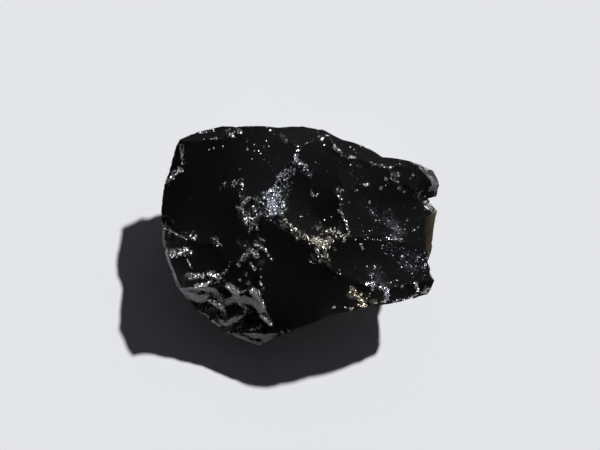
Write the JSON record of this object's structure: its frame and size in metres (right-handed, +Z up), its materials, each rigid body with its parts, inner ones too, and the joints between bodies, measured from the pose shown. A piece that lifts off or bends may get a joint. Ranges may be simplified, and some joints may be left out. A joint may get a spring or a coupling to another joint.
{
  "type": "obsidian chunk",
  "caption": "Raw chunk of black volcanic glass, broken all over by hollow shell-shaped scars that meet in sharp ridges, with a flat break to rest on.",
  "frame": {"origin": "middle of the bounding box in X and Y, on the flat break that the chunk rests on", "axes": "+X along the chunk's length, towards its pointed tip; +Y towards its straight back edge; +Z up"},
  "size_m": [0.0506, 0.04, 0.024],
  "materials": {
    "obsidian": "glossy fracture surface, dark brown where it is thin, frosted with small chips along the ridges"
  },
  "bodies": {
    "root": {"obsidian_chunk": "obsidian"}
  },
  "joints": []
}
